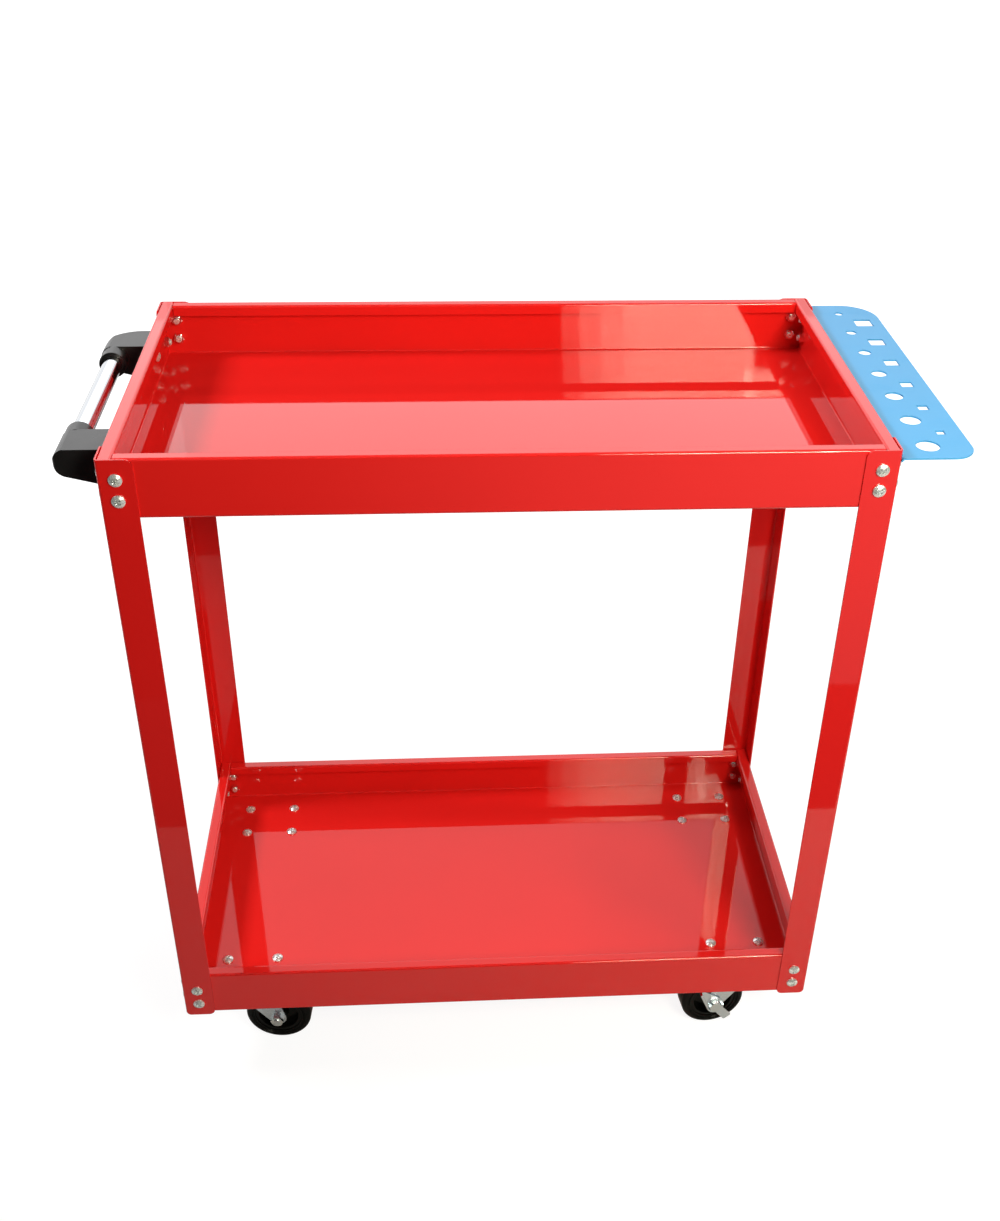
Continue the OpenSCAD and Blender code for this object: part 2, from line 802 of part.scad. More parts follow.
module fork(i) {
    color(ZINC) place_caster(i) difference() {
        union() {
            intersection() {
                translate([-crown_back, 0, axle_level]) rotate([90, 0, 90])
                    linear_extrude(crown_back + trail + fork_end_r + 1) fork_arch();
                translate([0, fork_outer, axle_level]) rotate([90, 0, 0])
                    linear_extrude(2 * fork_outer) fork_profile();
            }
            translate([0, 0, crown_under]) cylinder(r = crown_r, h = fork_sheet, $fn = 96);
            translate([0, 0, crown_top - eps])
                cylinder(r = upper_race_r, h = lower_race_top - crown_top + eps, $fn = 64);
            translate([0, 0, crown_top - eps]) difference() {
                cylinder(r = crown_r, h = race_wall_top - crown_top + eps, $fn = 96);
                translate([0, 0, -1]) cylinder(r = race_wall_in, h = race_wall_top - crown_top + 2, $fn = 96);
            }
        }
        translate([0, 0, crown_under - 1])
            cylinder(r = kingpin_r + running_clear, h = lower_race_top - crown_under + 2);
        race_groove();
        translate([trail, fork_outer + 1, axle_level]) rotate([90, 0, 0])
            cylinder(r = axle_hole_r, h = 2 * fork_outer + 2);
    }
}

// Puts the wheel's own frame, with its axle along +z, on a caster; +z points to the lever's side
module place_axle(i) {
    place_caster(i) translate([trail, 0, axle_level]) rotate([-90, 0, 0]) children();
}

module sleeve(i) {
    color(ZINC) place_axle(i) difference() {
        translate([0, 0, -sleeve_half]) cylinder(d = sleeve_d, h = 2 * sleeve_half);
        translate([0, 0, -sleeve_half - 1]) cylinder(r = axle_hole_r, h = 2 * sleeve_half + 2);
    }
}

// A braked caster's bolt is longer by the lever and its side gaps
module axle_bolt(i, braked) {
    seat = fork_outer + (braked ? axle_washer : 0);
    end = fork_outer + axle_nut_h + 1.5;
    color(ZINC) place_axle(i) {
        translate([0, 0, seat]) hex_blank(axle_head_flats, axle_head_h);
        translate([0, 0, -end]) cylinder(d = axle_d, h = end + seat + 1);
    }
}

module axle_nut(i) {
    color(ZINC) place_axle(i)
        translate([0, 0, -fork_outer - axle_nut_h])
            hex_nut(axle_head_flats, axle_nut_h, axle_d / 2 + thread_clear);
}

module wheel_core(i) {
    color(BLACK) place_axle(i) difference() {
        union() {
            translate([0, 0, -hub_half]) cylinder(r = hub_r, h = 2 * hub_half);
            translate([0, 0, -web_half]) cylinder(r = rim_in_r + 1, h = 2 * web_half, $fn = 96);
            difference() {
                translate([0, 0, -rim_half]) cylinder(r = tyre_in_r, h = 2 * rim_half, $fn = 96);
                translate([0, 0, -rim_half - 1]) cylinder(r = rim_in_r, h = 2 * rim_half + 2, $fn = 96);
            }
        }
        translate([0, 0, -hub_half - 1]) cylinder(r = sleeve_d / 2 + running_clear, h = 2 * hub_half + 2);
    }
}

// Half section of a tyre: x is the radius, y runs across the tread
module tyre_section() {
    out_r = wheel_d / 2;
    half = tyre_width / 2;
    difference() {
        union() {
            translate([tyre_in_r, -half]) square([out_r - tread_round - tyre_in_r, tyre_width]);
            translate([tyre_in_r, -half + tread_round]) square([out_r - tyre_in_r, tyre_width - 2 * tread_round]);
            for (s = [-1, 1]) translate([out_r - tread_round, s * (half - tread_round)])
                circle(r = tread_round);
        }
        for (s = [-1, 1]) translate([tyre_in_r + 3, s * half]) circle(r = groove_r);
    }
}

module tyre(i) {
    color(BLACK) place_axle(i) rotate_extrude($fn = 120) tyre_section();
}

// A lever's outline: its eye, and the upper arm that narrows towards its end at +x
module lever_outline(inset) {
    r = lever_eye_r - inset;
    tip = [lever_upper - inset, lever_upper_end / 2 - inset];
    touch = tangent_point(tip, r - tangent_bite, 1);
    circle(r = r);
    polygon([tip, touch, [0, 0], [touch[0], -touch[1]], [tip[0], -tip[1]]]);
}

// Lever in the wheel's frame: x along its arms, z outwards from the fork, its eye on the axle.
// The eye is a shallow bowl round the bolt's head, and the lower arm leaves it at the rim's level.
module lever_blank() {
    rim_level = lever_in + lever_rim;
    difference() {
        union() {
            translate([0, 0, lever_in]) linear_extrude(lever_sheet) lever_outline(0);
            translate([0, 0, lever_out - eps]) linear_extrude(lever_rim - lever_sheet + eps) lever_rim_plan();
            translate([0, 0, rim_level - lever_sheet]) linear_extrude(lever_sheet) lower_arm();
        }
        translate([0, 0, lever_in - 1]) cylinder(r = axle_d / 2 + running_clear, h = lever_sheet + 2);
    }
}

// The rim runs round the eye and along the upper arm's lower edge
module lever_rim_plan() {
    difference() {
        lever_outline(0);
        lever_outline(lever_sheet);
        translate([-lever_eye_r / 2, -lever_eye_r - 1]) square([lever_eye_r + lever_upper, lever_eye_r + 1]);
    }
}

module lower_arm() {
    half = lever_lower_width / 2;
    difference() {
        translate([-lever_lower, -half]) square([lever_lower, lever_lower_width]);
        circle(r = lever_bowl_r);
        for (s = [-1, 1]) corner_waste([-1, s], [-lever_lower, s * half], lever_end_r);
    }
}

module brake_lever(i) {
    color(ZINC) place_axle(i) rotate([0, 0, -lever_slope]) lever_blank();
}

translate([shift_x, 0, 0]) {
    leg(-1, -1);  // leg_front_left
    leg(1, -1);  // leg_front_right
    leg(-1, 1);  // leg_rear_left
    leg(1, 1);  // leg_rear_right
    upper_tray();
    lower_tray();
    handle_bracket(-1, front_shoulder_r);  // handle_bracket_front
    handle_bracket(1, rear_shoulder_r);  // handle_bracket_rear
    handle_tube();
    handle_screws();
    tool_plate();
    upper_tray_screws();
    tray_nuts(leg_screw_levels);  // upper_tray_nuts
    lower_tray_screws();
    tray_nuts(foot_screw_levels);  // lower_tray_nuts
    caster_plate(0);  // caster_plate_front_left
    caster_plate(1);  // caster_plate_front_right
    caster_plate(2);  // caster_plate_rear_left
    caster_plate(3);  // caster_plate_rear_right
    caster_screws();
    caster_nuts();
    kingpins();
    kingpin_nuts();
    swivel_balls();
    fork(0);  // fork_front_left
    fork(1);  // fork_front_right
    fork(2);  // fork_rear_left
    fork(3);  // fork_rear_right
    axle_bolt(0, false);  // axle_bolt_front_left
    axle_bolt(1, true);  // axle_bolt_front_right
    axle_bolt(2, false);  // axle_bolt_rear_left
    axle_bolt(3, true);  // axle_bolt_rear_right
    axle_nut(0);  // axle_nut_front_left
    axle_nut(1);  // axle_nut_front_right
    axle_nut(2);  // axle_nut_rear_left
    axle_nut(3);  // axle_nut_rear_right
    sleeve(0);  // sleeve_front_left
    sleeve(1);  // sleeve_front_right
    sleeve(2);  // sleeve_rear_left
    sleeve(3);  // sleeve_rear_right
    wheel_core(0);  // wheel_core_front_left
    wheel_core(1);  // wheel_core_front_right
    wheel_core(2);  // wheel_core_rear_left
    wheel_core(3);  // wheel_core_rear_right
    tyre(0);  // tyre_front_left
    tyre(1);  // tyre_front_right
    tyre(2);  // tyre_rear_left
    tyre(3);  // tyre_rear_right
    brake_lever(1);  // brake_lever_front_right
    brake_lever(3);  // brake_lever_rear_right
}
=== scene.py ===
"""Dresses a two-tier tool cart for a studio picture.

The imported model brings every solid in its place. This file gives each solid its finish,
adds the threads on the screw tips, the raised rings on the tyres and the beads of paint
round the punched holes, and sets up the studio. Lengths are in metres, in the model's frame.
"""

import json
import logging
import math
from dataclasses import dataclass
from enum import Enum
from typing import Any, Sequence

import bpy
from mathutils import Matrix, Vector

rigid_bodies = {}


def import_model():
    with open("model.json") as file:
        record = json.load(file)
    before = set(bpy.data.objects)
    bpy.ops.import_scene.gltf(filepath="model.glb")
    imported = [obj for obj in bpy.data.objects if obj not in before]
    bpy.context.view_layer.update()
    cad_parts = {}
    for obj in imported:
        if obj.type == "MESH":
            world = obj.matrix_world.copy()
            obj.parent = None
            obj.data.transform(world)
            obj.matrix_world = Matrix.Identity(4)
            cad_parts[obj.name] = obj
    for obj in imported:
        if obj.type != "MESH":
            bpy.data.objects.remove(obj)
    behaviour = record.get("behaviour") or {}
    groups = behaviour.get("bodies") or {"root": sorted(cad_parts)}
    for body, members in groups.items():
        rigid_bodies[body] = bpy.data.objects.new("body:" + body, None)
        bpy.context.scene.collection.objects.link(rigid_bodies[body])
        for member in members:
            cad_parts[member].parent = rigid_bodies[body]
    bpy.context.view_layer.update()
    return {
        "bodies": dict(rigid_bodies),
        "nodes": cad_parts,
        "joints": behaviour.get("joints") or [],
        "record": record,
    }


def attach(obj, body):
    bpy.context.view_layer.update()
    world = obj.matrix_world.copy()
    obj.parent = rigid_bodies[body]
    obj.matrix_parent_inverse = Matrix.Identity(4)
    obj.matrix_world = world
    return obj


LOG = logging.getLogger("tool_cart")
MM = 0.001

Color = tuple[float, float, float]
WHITE: Color = (1.0, 1.0, 1.0)
BLACK: Color = (0.0, 0.0, 0.0)
WARM: Color = (1.0, 0.95, 0.74)

# The middle between the legs, and how far the casters stand from it along x and y.
CENTRE_X = -11.0 * MM
CASTER_SPREAD = (283.8 * MM, 131.5 * MM)

# Outputs by their number, of the nodes Light Path, Voronoi Texture, Vector Math, Mix and
# Texture Coordinate.
CAMERA_RAY = 0
CELL_COLOR = 1
VECTOR_LENGTH = 1
MIXED_COLOR = 2
OBJECT_PLACE = 3

# How finely edges look rounded, and how many sides a thread's ridge and a bead have.
BEVEL_SAMPLES = 4
THREAD_SIDES = 4
BEAD_SIDES = 6


class Corner(Enum):
    """A corner of the cart, with the signs of its x and y."""

    FRONT_LEFT = (-1, -1)
    FRONT_RIGHT = (1, -1)
    REAR_LEFT = (-1, 1)
    REAR_RIGHT = (1, 1)

    @property
    def label(self) -> str:
        """The corner's name as the nodes and bodies spell it."""
        return self.name.lower()


class Grain(Enum):
    """The way that fine lines run on a metal, as a stretch of the pattern along x, y and z."""

    ALONG_X = (0.02, 1.0, 1.0)
    ALONG_Y = (1.0, 0.02, 1.0)
    EVEN = (1.0, 1.0, 1.0)


@dataclass(frozen=True)
class Pattern:
    """A soft noise: the size of its largest blots, its finer layers and their weight."""

    size: float
    detail: float = 2.0
    weight: float = 0.5


def scaled(color: Color, *factors: float) -> Color:
    """A colour with its channels scaled, by one factor or one for each, at most to 1."""
    each = factors * len(color) if len(factors) == 1 else factors
    return tuple(min(1.0, channel * factor) for channel, factor in zip(color, each))


class Signal:
    """An output of a shader node. Python's arithmetic on it adds Math nodes."""

    def __init__(self, graph: "NodeGraph", socket: bpy.types.NodeSocket) -> None:
        """Wraps an output socket of a graph."""
        self.graph = graph
        self.socket = socket

    def math(self, operation: str, *values: "Signal | float") -> "Signal":
        """Adds one Math node on these values, in order, and wraps its output."""
        settings = {"operation": operation}
        return self.graph.signal("ShaderNodeMath", settings, dict(enumerate(values)))

    def __add__(self, other: "Signal | float") -> "Signal":
        """Sum of the two."""
        return self.math("ADD", self, other)

    __radd__ = __add__

    def __sub__(self, other: "Signal | float") -> "Signal":
        """Difference of the two."""
        return self.math("SUBTRACT", self, other)

    def __rsub__(self, other: float) -> "Signal":
        """Difference with the number first."""
        return self.math("SUBTRACT", other, self)

    def __mul__(self, other: "Signal | float") -> "Signal":
        """Product of the two."""
        return self.math("MULTIPLY", self, other)

    __rmul__ = __mul__

    def over(self, low: float, high: float) -> "Signal":
        """A smooth step.

        Args:
            low: The value where the step begins, at 0.
            high: The value where it ends, at 1.

        Returns:
            The step, from 0 to 1.
        """
        return self.graph.signal(
            "ShaderNodeMapRange",
            {"interpolation_type": "SMOOTHSTEP"},
            {"Value": self, "From Min": low, "From Max": high, "To Min": 0.0, "To Max": 1.0},
        )


class NodeGraph:
    """A shader node tree, of a finish or of the world."""

    def __init__(self, tree: bpy.types.NodeTree) -> None:
        """Empties the tree that the nodes go into."""
        self.tree = tree
        self.tree.nodes.clear()

    def node(self, kind: str, settings: dict[str, Any], inputs: dict[Any, Any]) -> bpy.types.Node:
        """Adds a node of any kind.

        Args:
            kind: The node's type.
            settings: Its properties, set first.
            inputs: Values, colours or signals by a socket's name, identifier or number.

        Returns:
            The node.
        """
        node = self.tree.nodes.new(kind)
        for key, value in settings.items():
            setattr(node, key, value)
        for key, value in inputs.items():
            socket = self._socket(node, key)
            if isinstance(value, Signal):
                self.tree.links.new(value.socket, socket)
            elif isinstance(value, tuple) and socket.type == "RGBA":
                socket.default_value = (*value, 1.0)
            else:
                socket.default_value = value
        return node

    @staticmethod
    def _socket(node: bpy.types.Node, key: Any) -> bpy.types.NodeSocket:
        """Finds an input of a node.

        Args:
            node: The node.
            key: The input's number, identifier or name.

        Returns:
            The input.
        """
        if isinstance(key, int):
            return node.inputs[key]
        return next(s for s in node.inputs if key in (s.identifier, s.name))

    def signal(
        self, kind: str, settings: dict[str, Any], inputs: dict[Any, Any], output: int = 0
    ) -> Signal:
        """Adds a node as the node method does, and wraps its output of this number."""
        return Signal(self, self.node(kind, settings, inputs).outputs[output])

    def place(self, stretch: Sequence[float] = (1, 1, 1)) -> Signal:
        """Where a point is on the piece, times the stretch along each axis."""
        here = self.signal("ShaderNodeTexCoord", {}, {}, OBJECT_PLACE)
        return self.signal("ShaderNodeMapping", {}, {"Vector": here, "Scale": tuple(stretch)})

    def coordinate(self, axis: int) -> Signal:
        """One coordinate of a point on the piece, by the axis's number."""
        return self.signal("ShaderNodeSeparateXYZ", {}, {0: self.place()}, axis)

    def noise(self, where: Signal, pattern: Pattern) -> Signal:
        """Soft noise from 0 to 1.

        Args:
            where: The coordinates.
            pattern: The noise's size, layers and weight.

        Returns:
            The noise.
        """
        inputs = {
            "Vector": where,
            "Scale": 1.0 / pattern.size,
            "Detail": pattern.detail,
            "Roughness": pattern.weight,
        }
        return self.signal("ShaderNodeTexNoise", {"noise_dimensions": "3D"}, inputs)

    def cells(self, where: Signal, size: float) -> Signal:
        """Flat random cells, as of crystals.

        Args:
            where: The coordinates.
            size: The size of a cell, in metres.

        Returns:
            One random value per cell.
        """
        cells = {"Vector": where, "Scale": 1.0 / size}
        color = self.signal("ShaderNodeTexVoronoi", {"feature": "F1"}, cells, CELL_COLOR)
        return self.signal("ShaderNodeSeparateColor", {}, {"Color": color})

    def blend(self, factor: Signal, first: Color, second: Color) -> Signal:
        """A colour between two.

        Args:
            factor: 0 for the first, 1 for the second.
            first: The first colour.
            second: The second colour.

        Returns:
            The colour.
        """
        return self.signal(
            "ShaderNodeMix",
            {"data_type": "RGBA"},
            {"Factor_Float": factor, "A_Color": first, "B_Color": second},
            MIXED_COLOR,
        )

    def relief(self, height: Signal, depth: float, edge: float) -> Signal:
        """A normal from a height, over softened edges.

        Args:
            height: The height, from 0 to 1.
            depth: How far the height of 1 stands out, in metres.
            edge: The radius that sharp edges look rounded to, in metres.

        Returns:
            The normal.
        """
        soft = self.signal("ShaderNodeBevel", {"samples": BEVEL_SAMPLES}, {"Radius": edge})
        inputs = {"Strength": 1.0, "Distance": depth, "Height": height, "Normal": soft}
        return self.signal("ShaderNodeBump", {}, inputs)

    def close(self, kind: str, shader: Signal) -> None:
        """Ends the tree in an output node of this kind, which shows the shader."""
        self.node(kind, {}, {"Surface": shader})


class FinishGraph(NodeGraph):
    """The node tree of one finish."""

    def __init__(self, name: str) -> None:
        """Starts an empty material.

        Args:
            name: The material's name.
        """
        self.material = bpy.data.materials.new(name)
        self.material.use_nodes = True
        super().__init__(self.material.node_tree)

    def surface(
        self, color: Signal, roughness: Signal, normal: Signal, **constants: float
    ) -> bpy.types.Material:
        """Ends the tree in one surface shader.

        Args:
            color: The base colour.
            roughness: The roughness.
            normal: The normal.
            constants: Numbers that are the same all over, by socket name with _ for a space.

        Returns:
            The material.
        """
        inputs: dict[Any, Any] = {"Base Color": color, "Roughness": roughness, "Normal": normal}
        inputs.update({key.replace("_", " "): value for key, value in constants.items()})
        shader = self.signal("ShaderNodeBsdfPrincipled", {}, inputs)
        self.close("ShaderNodeOutputMaterial", shader)
        return self.material


@dataclass(frozen=True)
class GlossPowderCoat:
    """Glossy powder coat on folded sheet: orange peel, faint clouds and a few smudges."""

    name: str
    color: Color
    roughness: float = 0.025
    peel: Pattern = Pattern(3.2 * MM, 2.0, 0.35)
    fine_peel: Pattern = Pattern(0.7 * MM, 1.0)
    fine_share: float = 0.3
    peel_depth: float = 0.0024 * MM
    clouds: Pattern = Pattern(210.0 * MM, 3.0)
    specks: Pattern = Pattern(0.9 * MM, 1.0)
    speck_share: float = 0.2
    smudges: Pattern = Pattern(55.0 * MM, 4.0, 0.62)
    smudge_step: tuple[float, float] = (0.52, 0.74)
    dulling: tuple[float, float] = (0.03, 0.01)
    tones: tuple[float, float] = (0.9, 1.06)
    edge: float = 0.25 * MM
    ior: float = 1.5

    def material(self) -> bpy.types.Material:
        """Builds the finish.

        Returns:
            The material.
        """
        graph = FinishGraph(self.name)
        where = graph.place()
        clouds = graph.noise(where, self.clouds)
        specks = graph.noise(where, self.specks)
        smudges = graph.noise(where, self.smudges).over(*self.smudge_step)
        coarse, fine = graph.noise(where, self.peel), graph.noise(where, self.fine_peel)
        height = coarse * (1.0 - self.fine_share) + fine * self.fine_share
        deep, bright = (scaled(self.color, tone) for tone in self.tones)
        spots = clouds * (1.0 - self.speck_share) + specks * self.speck_share
        color = graph.blend(spots, deep, bright)
        roughness = self.roughness + smudges * self.dulling[0] + specks * self.dulling[1]
        normal = graph.relief(height, self.peel_depth, self.edge)
        return graph.surface(color, roughness, normal, IOR=self.ior)


@dataclass(frozen=True)
class SatinPowderCoat:
    """Satin powder coat with a fine even tooth."""

    name: str
    color: Color
    roughness: float = 0.36
    tooth: Pattern = Pattern(0.8 * MM, 2.0, 0.6)
    tooth_depth: float = 0.02 * MM
    tooth_share: float = 0.3
    clouds: Pattern = Pattern(70.0 * MM, 3.0)
    rubs: Pattern = Pattern(30.0 * MM, 3.0)
    rub_step: tuple[float, float] = (0.5, 0.75)
    dulling: tuple[float, float] = (0.08, 0.05)
    tones: tuple[float, float] = (0.93, 1.05)
    edge: float = 0.25 * MM
    ior: float = 1.5

    def material(self) -> bpy.types.Material:
        """Builds the finish.

        Returns:
            The material.
        """
        graph = FinishGraph(self.name)
        where = graph.place()
        tooth = graph.noise(where, self.tooth)
        clouds = graph.noise(where, self.clouds)
        rubs = graph.noise(where, self.rubs).over(*self.rub_step)
        deep, bright = (scaled(self.color, tone) for tone in self.tones)
        spots = clouds * (1.0 - self.tooth_share) + tooth * self.tooth_share
        color = graph.blend(spots, deep, bright)
        roughness = self.roughness + tooth * self.dulling[0] + rubs * self.dulling[1]
        normal = graph.relief(tooth, self.tooth_depth, self.edge)
        return graph.surface(color, roughness, normal, IOR=self.ior)


@dataclass(frozen=True)
class MouldedBlack:
    """Moulded or cast black: a fine skin, flow marks and a rubbed sheen."""

    name: str
    color: Color
    roughness: float
    skin: Pattern = Pattern(0.5 * MM, 3.0, 0.65)
    edge: float = 0.7 * MM
    ior: float = 1.22
    flow: Pattern = Pattern(18.0 * MM, 4.0, 0.6)
    flow_share: float = 0.3
    dust: Pattern = Pattern(2.2 * MM, 4.0, 0.7)
    dust_step: tuple[float, float] = (0.62, 0.78)
    paling: tuple[float, float] = (0.7, 0.5)
    dulling: tuple[float, float] = (0.08, 0.12)
    gain: float = 1.5
    lift: float = 0.001
    depth: float = 0.025 * MM

    def material(self) -> bpy.types.Material:
        """Builds the finish.

        Returns:
            The material.
        """
        graph = FinishGraph(self.name)
        where = graph.place()
        skin = graph.noise(where, self.skin)
        flow = graph.noise(where, self.flow)
        dust = graph.noise(where, self.dust).over(*self.dust_step)
        bright = tuple(channel * self.gain + self.lift for channel in self.color)
        worn = flow * self.paling[0] + dust * self.paling[1]
        color = graph.blend(worn, self.color, bright)
        roughness = self.roughness + flow * self.dulling[0] + dust * self.dulling[1]
        height = skin * (1.0 - self.flow_share) + flow * self.flow_share
        normal = graph.relief(height, self.depth, self.edge)
        return graph.surface(color, roughness, normal, IOR=self.ior)


@dataclass(frozen=True)
class ZincPlate:
    """Bright zinc on steel: small crystals, a faint blue and straw tint, and fine draw lines."""

    name: str
    color: Color
    roughness: float
    grain: Grain = Grain.EVEN
    edge: float = 0.25 * MM
    metallic: float = 1.0
    crystal: float = 1.6 * MM
    crystal_share: tuple[float, float] = (0.15, 0.1)
    tint: Pattern = Pattern(12.0 * MM)
    cool: Color = (0.92, 0.97, 1.03)
    warm: Color = (1.05, 1.02, 0.96)
    lines: Pattern = Pattern(0.35 * MM, 2.0, 0.6)
    line_depth: float = 0.006 * MM
    dulling: tuple[float, float] = (0.03, 0.08)

    def material(self) -> bpy.types.Material:
        """Builds the finish.

        Returns:
            The material.
        """
        graph = FinishGraph(self.name)
        where = graph.place()
        crystals = graph.cells(where, self.crystal)
        tint = graph.noise(where, self.tint)
        lines = graph.noise(graph.place(stretch=self.grain.value), self.lines)
        seen, felt = self.crystal_share
        hue = tint * (1.0 - seen) + crystals * seen
        color = graph.blend(hue, scaled(self.color, *self.cool), scaled(self.color, *self.warm))
        roughness = self.roughness + crystals * self.dulling[0] + lines * self.dulling[1]
        height = lines * (1.0 - felt) + crystals * felt
        normal = graph.relief(height, self.line_depth, self.edge)
        return graph.surface(color, roughness, normal, Metallic=self.metallic)


@dataclass(frozen=True)
class PolishedChrome:
    """Polished chrome or steel: faint draw lines and a few finger marks."""

    name: str
    color: Color
    roughness: float = 0.05
    grain: Grain = Grain.ALONG_Y
    lines: Pattern = Pattern(0.5 * MM)
    line_share: float = 0.4
    line_depth: float = 0.002 * MM
    marks: Pattern = Pattern(16.0 * MM, 4.0, 0.65)
    mark_step: tuple[float, float] = (0.5, 0.7)
    dulling: tuple[float, float] = (0.03, 0.06)
    dimming: float = 0.97
    edge: float = 0.15 * MM

    def material(self) -> bpy.types.Material:
        """Builds the finish.

        Returns:
            The material.
        """
        graph = FinishGraph(self.name)
        where = graph.place()
        lines = graph.noise(graph.place(stretch=self.grain.value), self.lines)
        marks = graph.noise(where, self.marks).over(*self.mark_step)
        spots = marks * (1.0 - self.line_share) + lines * self.line_share
        color = graph.blend(spots, self.color, scaled(self.color, self.dimming))
        roughness = self.roughness + lines * self.dulling[0] + marks * self.dulling[1]
        normal = graph.relief(lines, self.line_depth, self.edge)
        return graph.surface(color, roughness, normal, Metallic=1.0)


@dataclass(frozen=True)
class Site:
    """A place where a repeated shape stands."""

    place: Vector
    axis: Vector
    radius: float


class ShapeTree:
    """A geometry node tree that stands one shape on every site of a mesh."""

    SOCKETS = {"float": "NodeSocketFloat", "int": "NodeSocketInt", "finish": "NodeSocketMaterial"}

    def __init__(self, name: str, sizes: dict[str, str]) -> None:
        """Starts the tree.

        Args:
            name: The tree's name.
            sizes: Its named inputs, each with its kind: float, int or finish.
        """
        self.tree = bpy.data.node_groups.new(name, "GeometryNodeTree")
        panel = self.tree.interface
        panel.new_socket(name="Sites", in_out="INPUT", socket_type="NodeSocketGeometry")
        self.identifiers: dict[str, str] = {}
        for label, kind in sizes.items():
            socket = panel.new_socket(name=label, in_out="INPUT", socket_type=self.SOCKETS[kind])
            self.identifiers[label] = socket.identifier
        panel.new_socket(name="Shape", in_out="OUTPUT", socket_type="NodeSocketGeometry")
        self.source = self.tree.nodes.new("NodeGroupInput")

    def size(self, label: str) -> bpy.types.NodeSocket:
        """The socket of a named input."""
        return self.source.outputs[label]

    def add(
        self, kind: str, settings: dict[str, Any], inputs: dict[Any, Any], output: int = 0
    ) -> bpy.types.NodeSocket:
        """Adds a node.

        Args:
            kind: The node's type.
            settings: Its properties, set first.
            inputs: Values or sockets by the input's name or number.
            output: The number of the output.

        Returns:
            The output socket.
        """
        node = self.tree.nodes.new(kind)
        for key, value in settings.items():
            setattr(node, key, value)
        for key, value in inputs.items():
            if isinstance(value, bpy.types.NodeSocket):
                self.tree.links.new(value, node.inputs[key])
            else:
                node.inputs[key].default_value = value
        return node.outputs[output]

    def stand(self, shape: bpy.types.NodeSocket, by_radius: bool) -> bpy.types.NodeSocket:
        """Stands the shape on each site, its z along the site's axis.

        Args:
            shape: The shape.
            by_radius: Whether a site's radius scales it.

        Returns:
            The real shapes.
        """
        attribute = "GeometryNodeInputNamedAttribute"
        axis = self.add(attribute, {"data_type": "FLOAT_VECTOR"}, {"Name": "axis"})
        turned = self.add("FunctionNodeAlignRotationToVector", {"axis": "Z"}, {"Vector": axis})
        inputs = {"Points": self.size("Sites"), "Instance": shape, "Rotation": turned}
        if by_radius:
            inputs["Scale"] = self.add(attribute, {"data_type": "FLOAT"}, {"Name": "radius"})
        copies = self.add("GeometryNodeInstanceOnPoints", {}, inputs)
        return self.add("GeometryNodeRealizeInstances", {}, {"Geometry": copies})

    def close(self, shape: bpy.types.NodeSocket) -> None:
        """Smooths the shape, gives it its finish and ends the tree.

        Args:
            shape: The shape.
        """
        smooth = self.add("GeometryNodeSetShadeSmooth", {}, {"Geometry": shape})
        real = self.add("GeometryNodeRealizeInstances", {}, {"Geometry": smooth})
        finish = {"Geometry": real, "Material": self.size("Finish")}
        dressed = self.add("GeometryNodeSetMaterial", {}, finish)
        sink = self.tree.nodes.new("NodeGroupOutput")
        self.tree.links.new(dressed, sink.inputs["Shape"])

    def build(self, name: str, sites: Sequence[Site], sizes: dict[str, Any]) -> bpy.types.Object:
        """Runs the tree on some sites and keeps the result as a plain mesh.

        Args:
            name: The piece's name.
            sites: Where its shapes stand.
            sizes: The values of the tree's named inputs.

        Returns:
            The piece.
        """
        points = bpy.data.meshes.new(name + "_sites")
        points.from_pydata([tuple(site.place) for site in sites], [], [])
        points.attributes.new("axis", "FLOAT_VECTOR", "POINT")
        points.attributes.new("radius", "FLOAT", "POINT")
        for i, site in enumerate(sites):
            points.attributes["axis"].data[i].vector = site.axis
            points.attributes["radius"].data[i].value = site.radius
        piece = bpy.data.objects.new(name, points)
        bpy.context.scene.collection.objects.link(piece)
        modifier = piece.modifiers.new("shape", "NODES")
        modifier.node_group = self.tree
        for label, value in sizes.items():
            modifier[self.identifiers[label]] = value
        depsgraph = bpy.context.evaluated_depsgraph_get()
        mesh = bpy.data.meshes.new_from_object(piece.evaluated_get(depsgraph))
        piece.modifiers.remove(modifier)
        piece.data = mesh
        mesh.name = name
        LOG.info("%s: %d faces on %d sites", name, len(mesh.polygons), len(sites))
        return piece


def thread_tree() -> ShapeTree:
    """A tree that winds a screw's ridge up from each site.

    Returns:
        The tree, with the inputs Pitch, Turns, Radius, Ridge, Steps and Finish.
    """
    lengths = {label: "float" for label in ("Pitch", "Turns", "Radius", "Ridge")}
    tree = ShapeTree("thread_ridge", {**lengths, "Steps": "int", "Finish": "finish"})
    factors = {0: tree.size("Pitch"), 1: tree.size("Turns")}
    rise = tree.add("ShaderNodeMath", {"operation": "MULTIPLY"}, factors)
    helix = tree.add(
        "GeometryNodeCurveSpiral",
        {},
        {
            "Resolution": tree.size("Steps"),
            "Rotations": tree.size("Turns"),
            "Start Radius": tree.size("Radius"),
            "End Radius": tree.size("Radius"),
            "Height": rise,
        },
    )
    circle = {"Resolution": THREAD_SIDES, "Radius": tree.size("Ridge")}
    profile = tree.add("GeometryNodeCurvePrimitiveCircle", {}, circle)
    sweep = {"Curve": helix, "Profile Curve": profile, "Fill Caps": True}
    ridge = tree.add("GeometryNodeCurveToMesh", {}, sweep)
    tree.close(tree.stand(ridge, by_radius=False))
    return tree


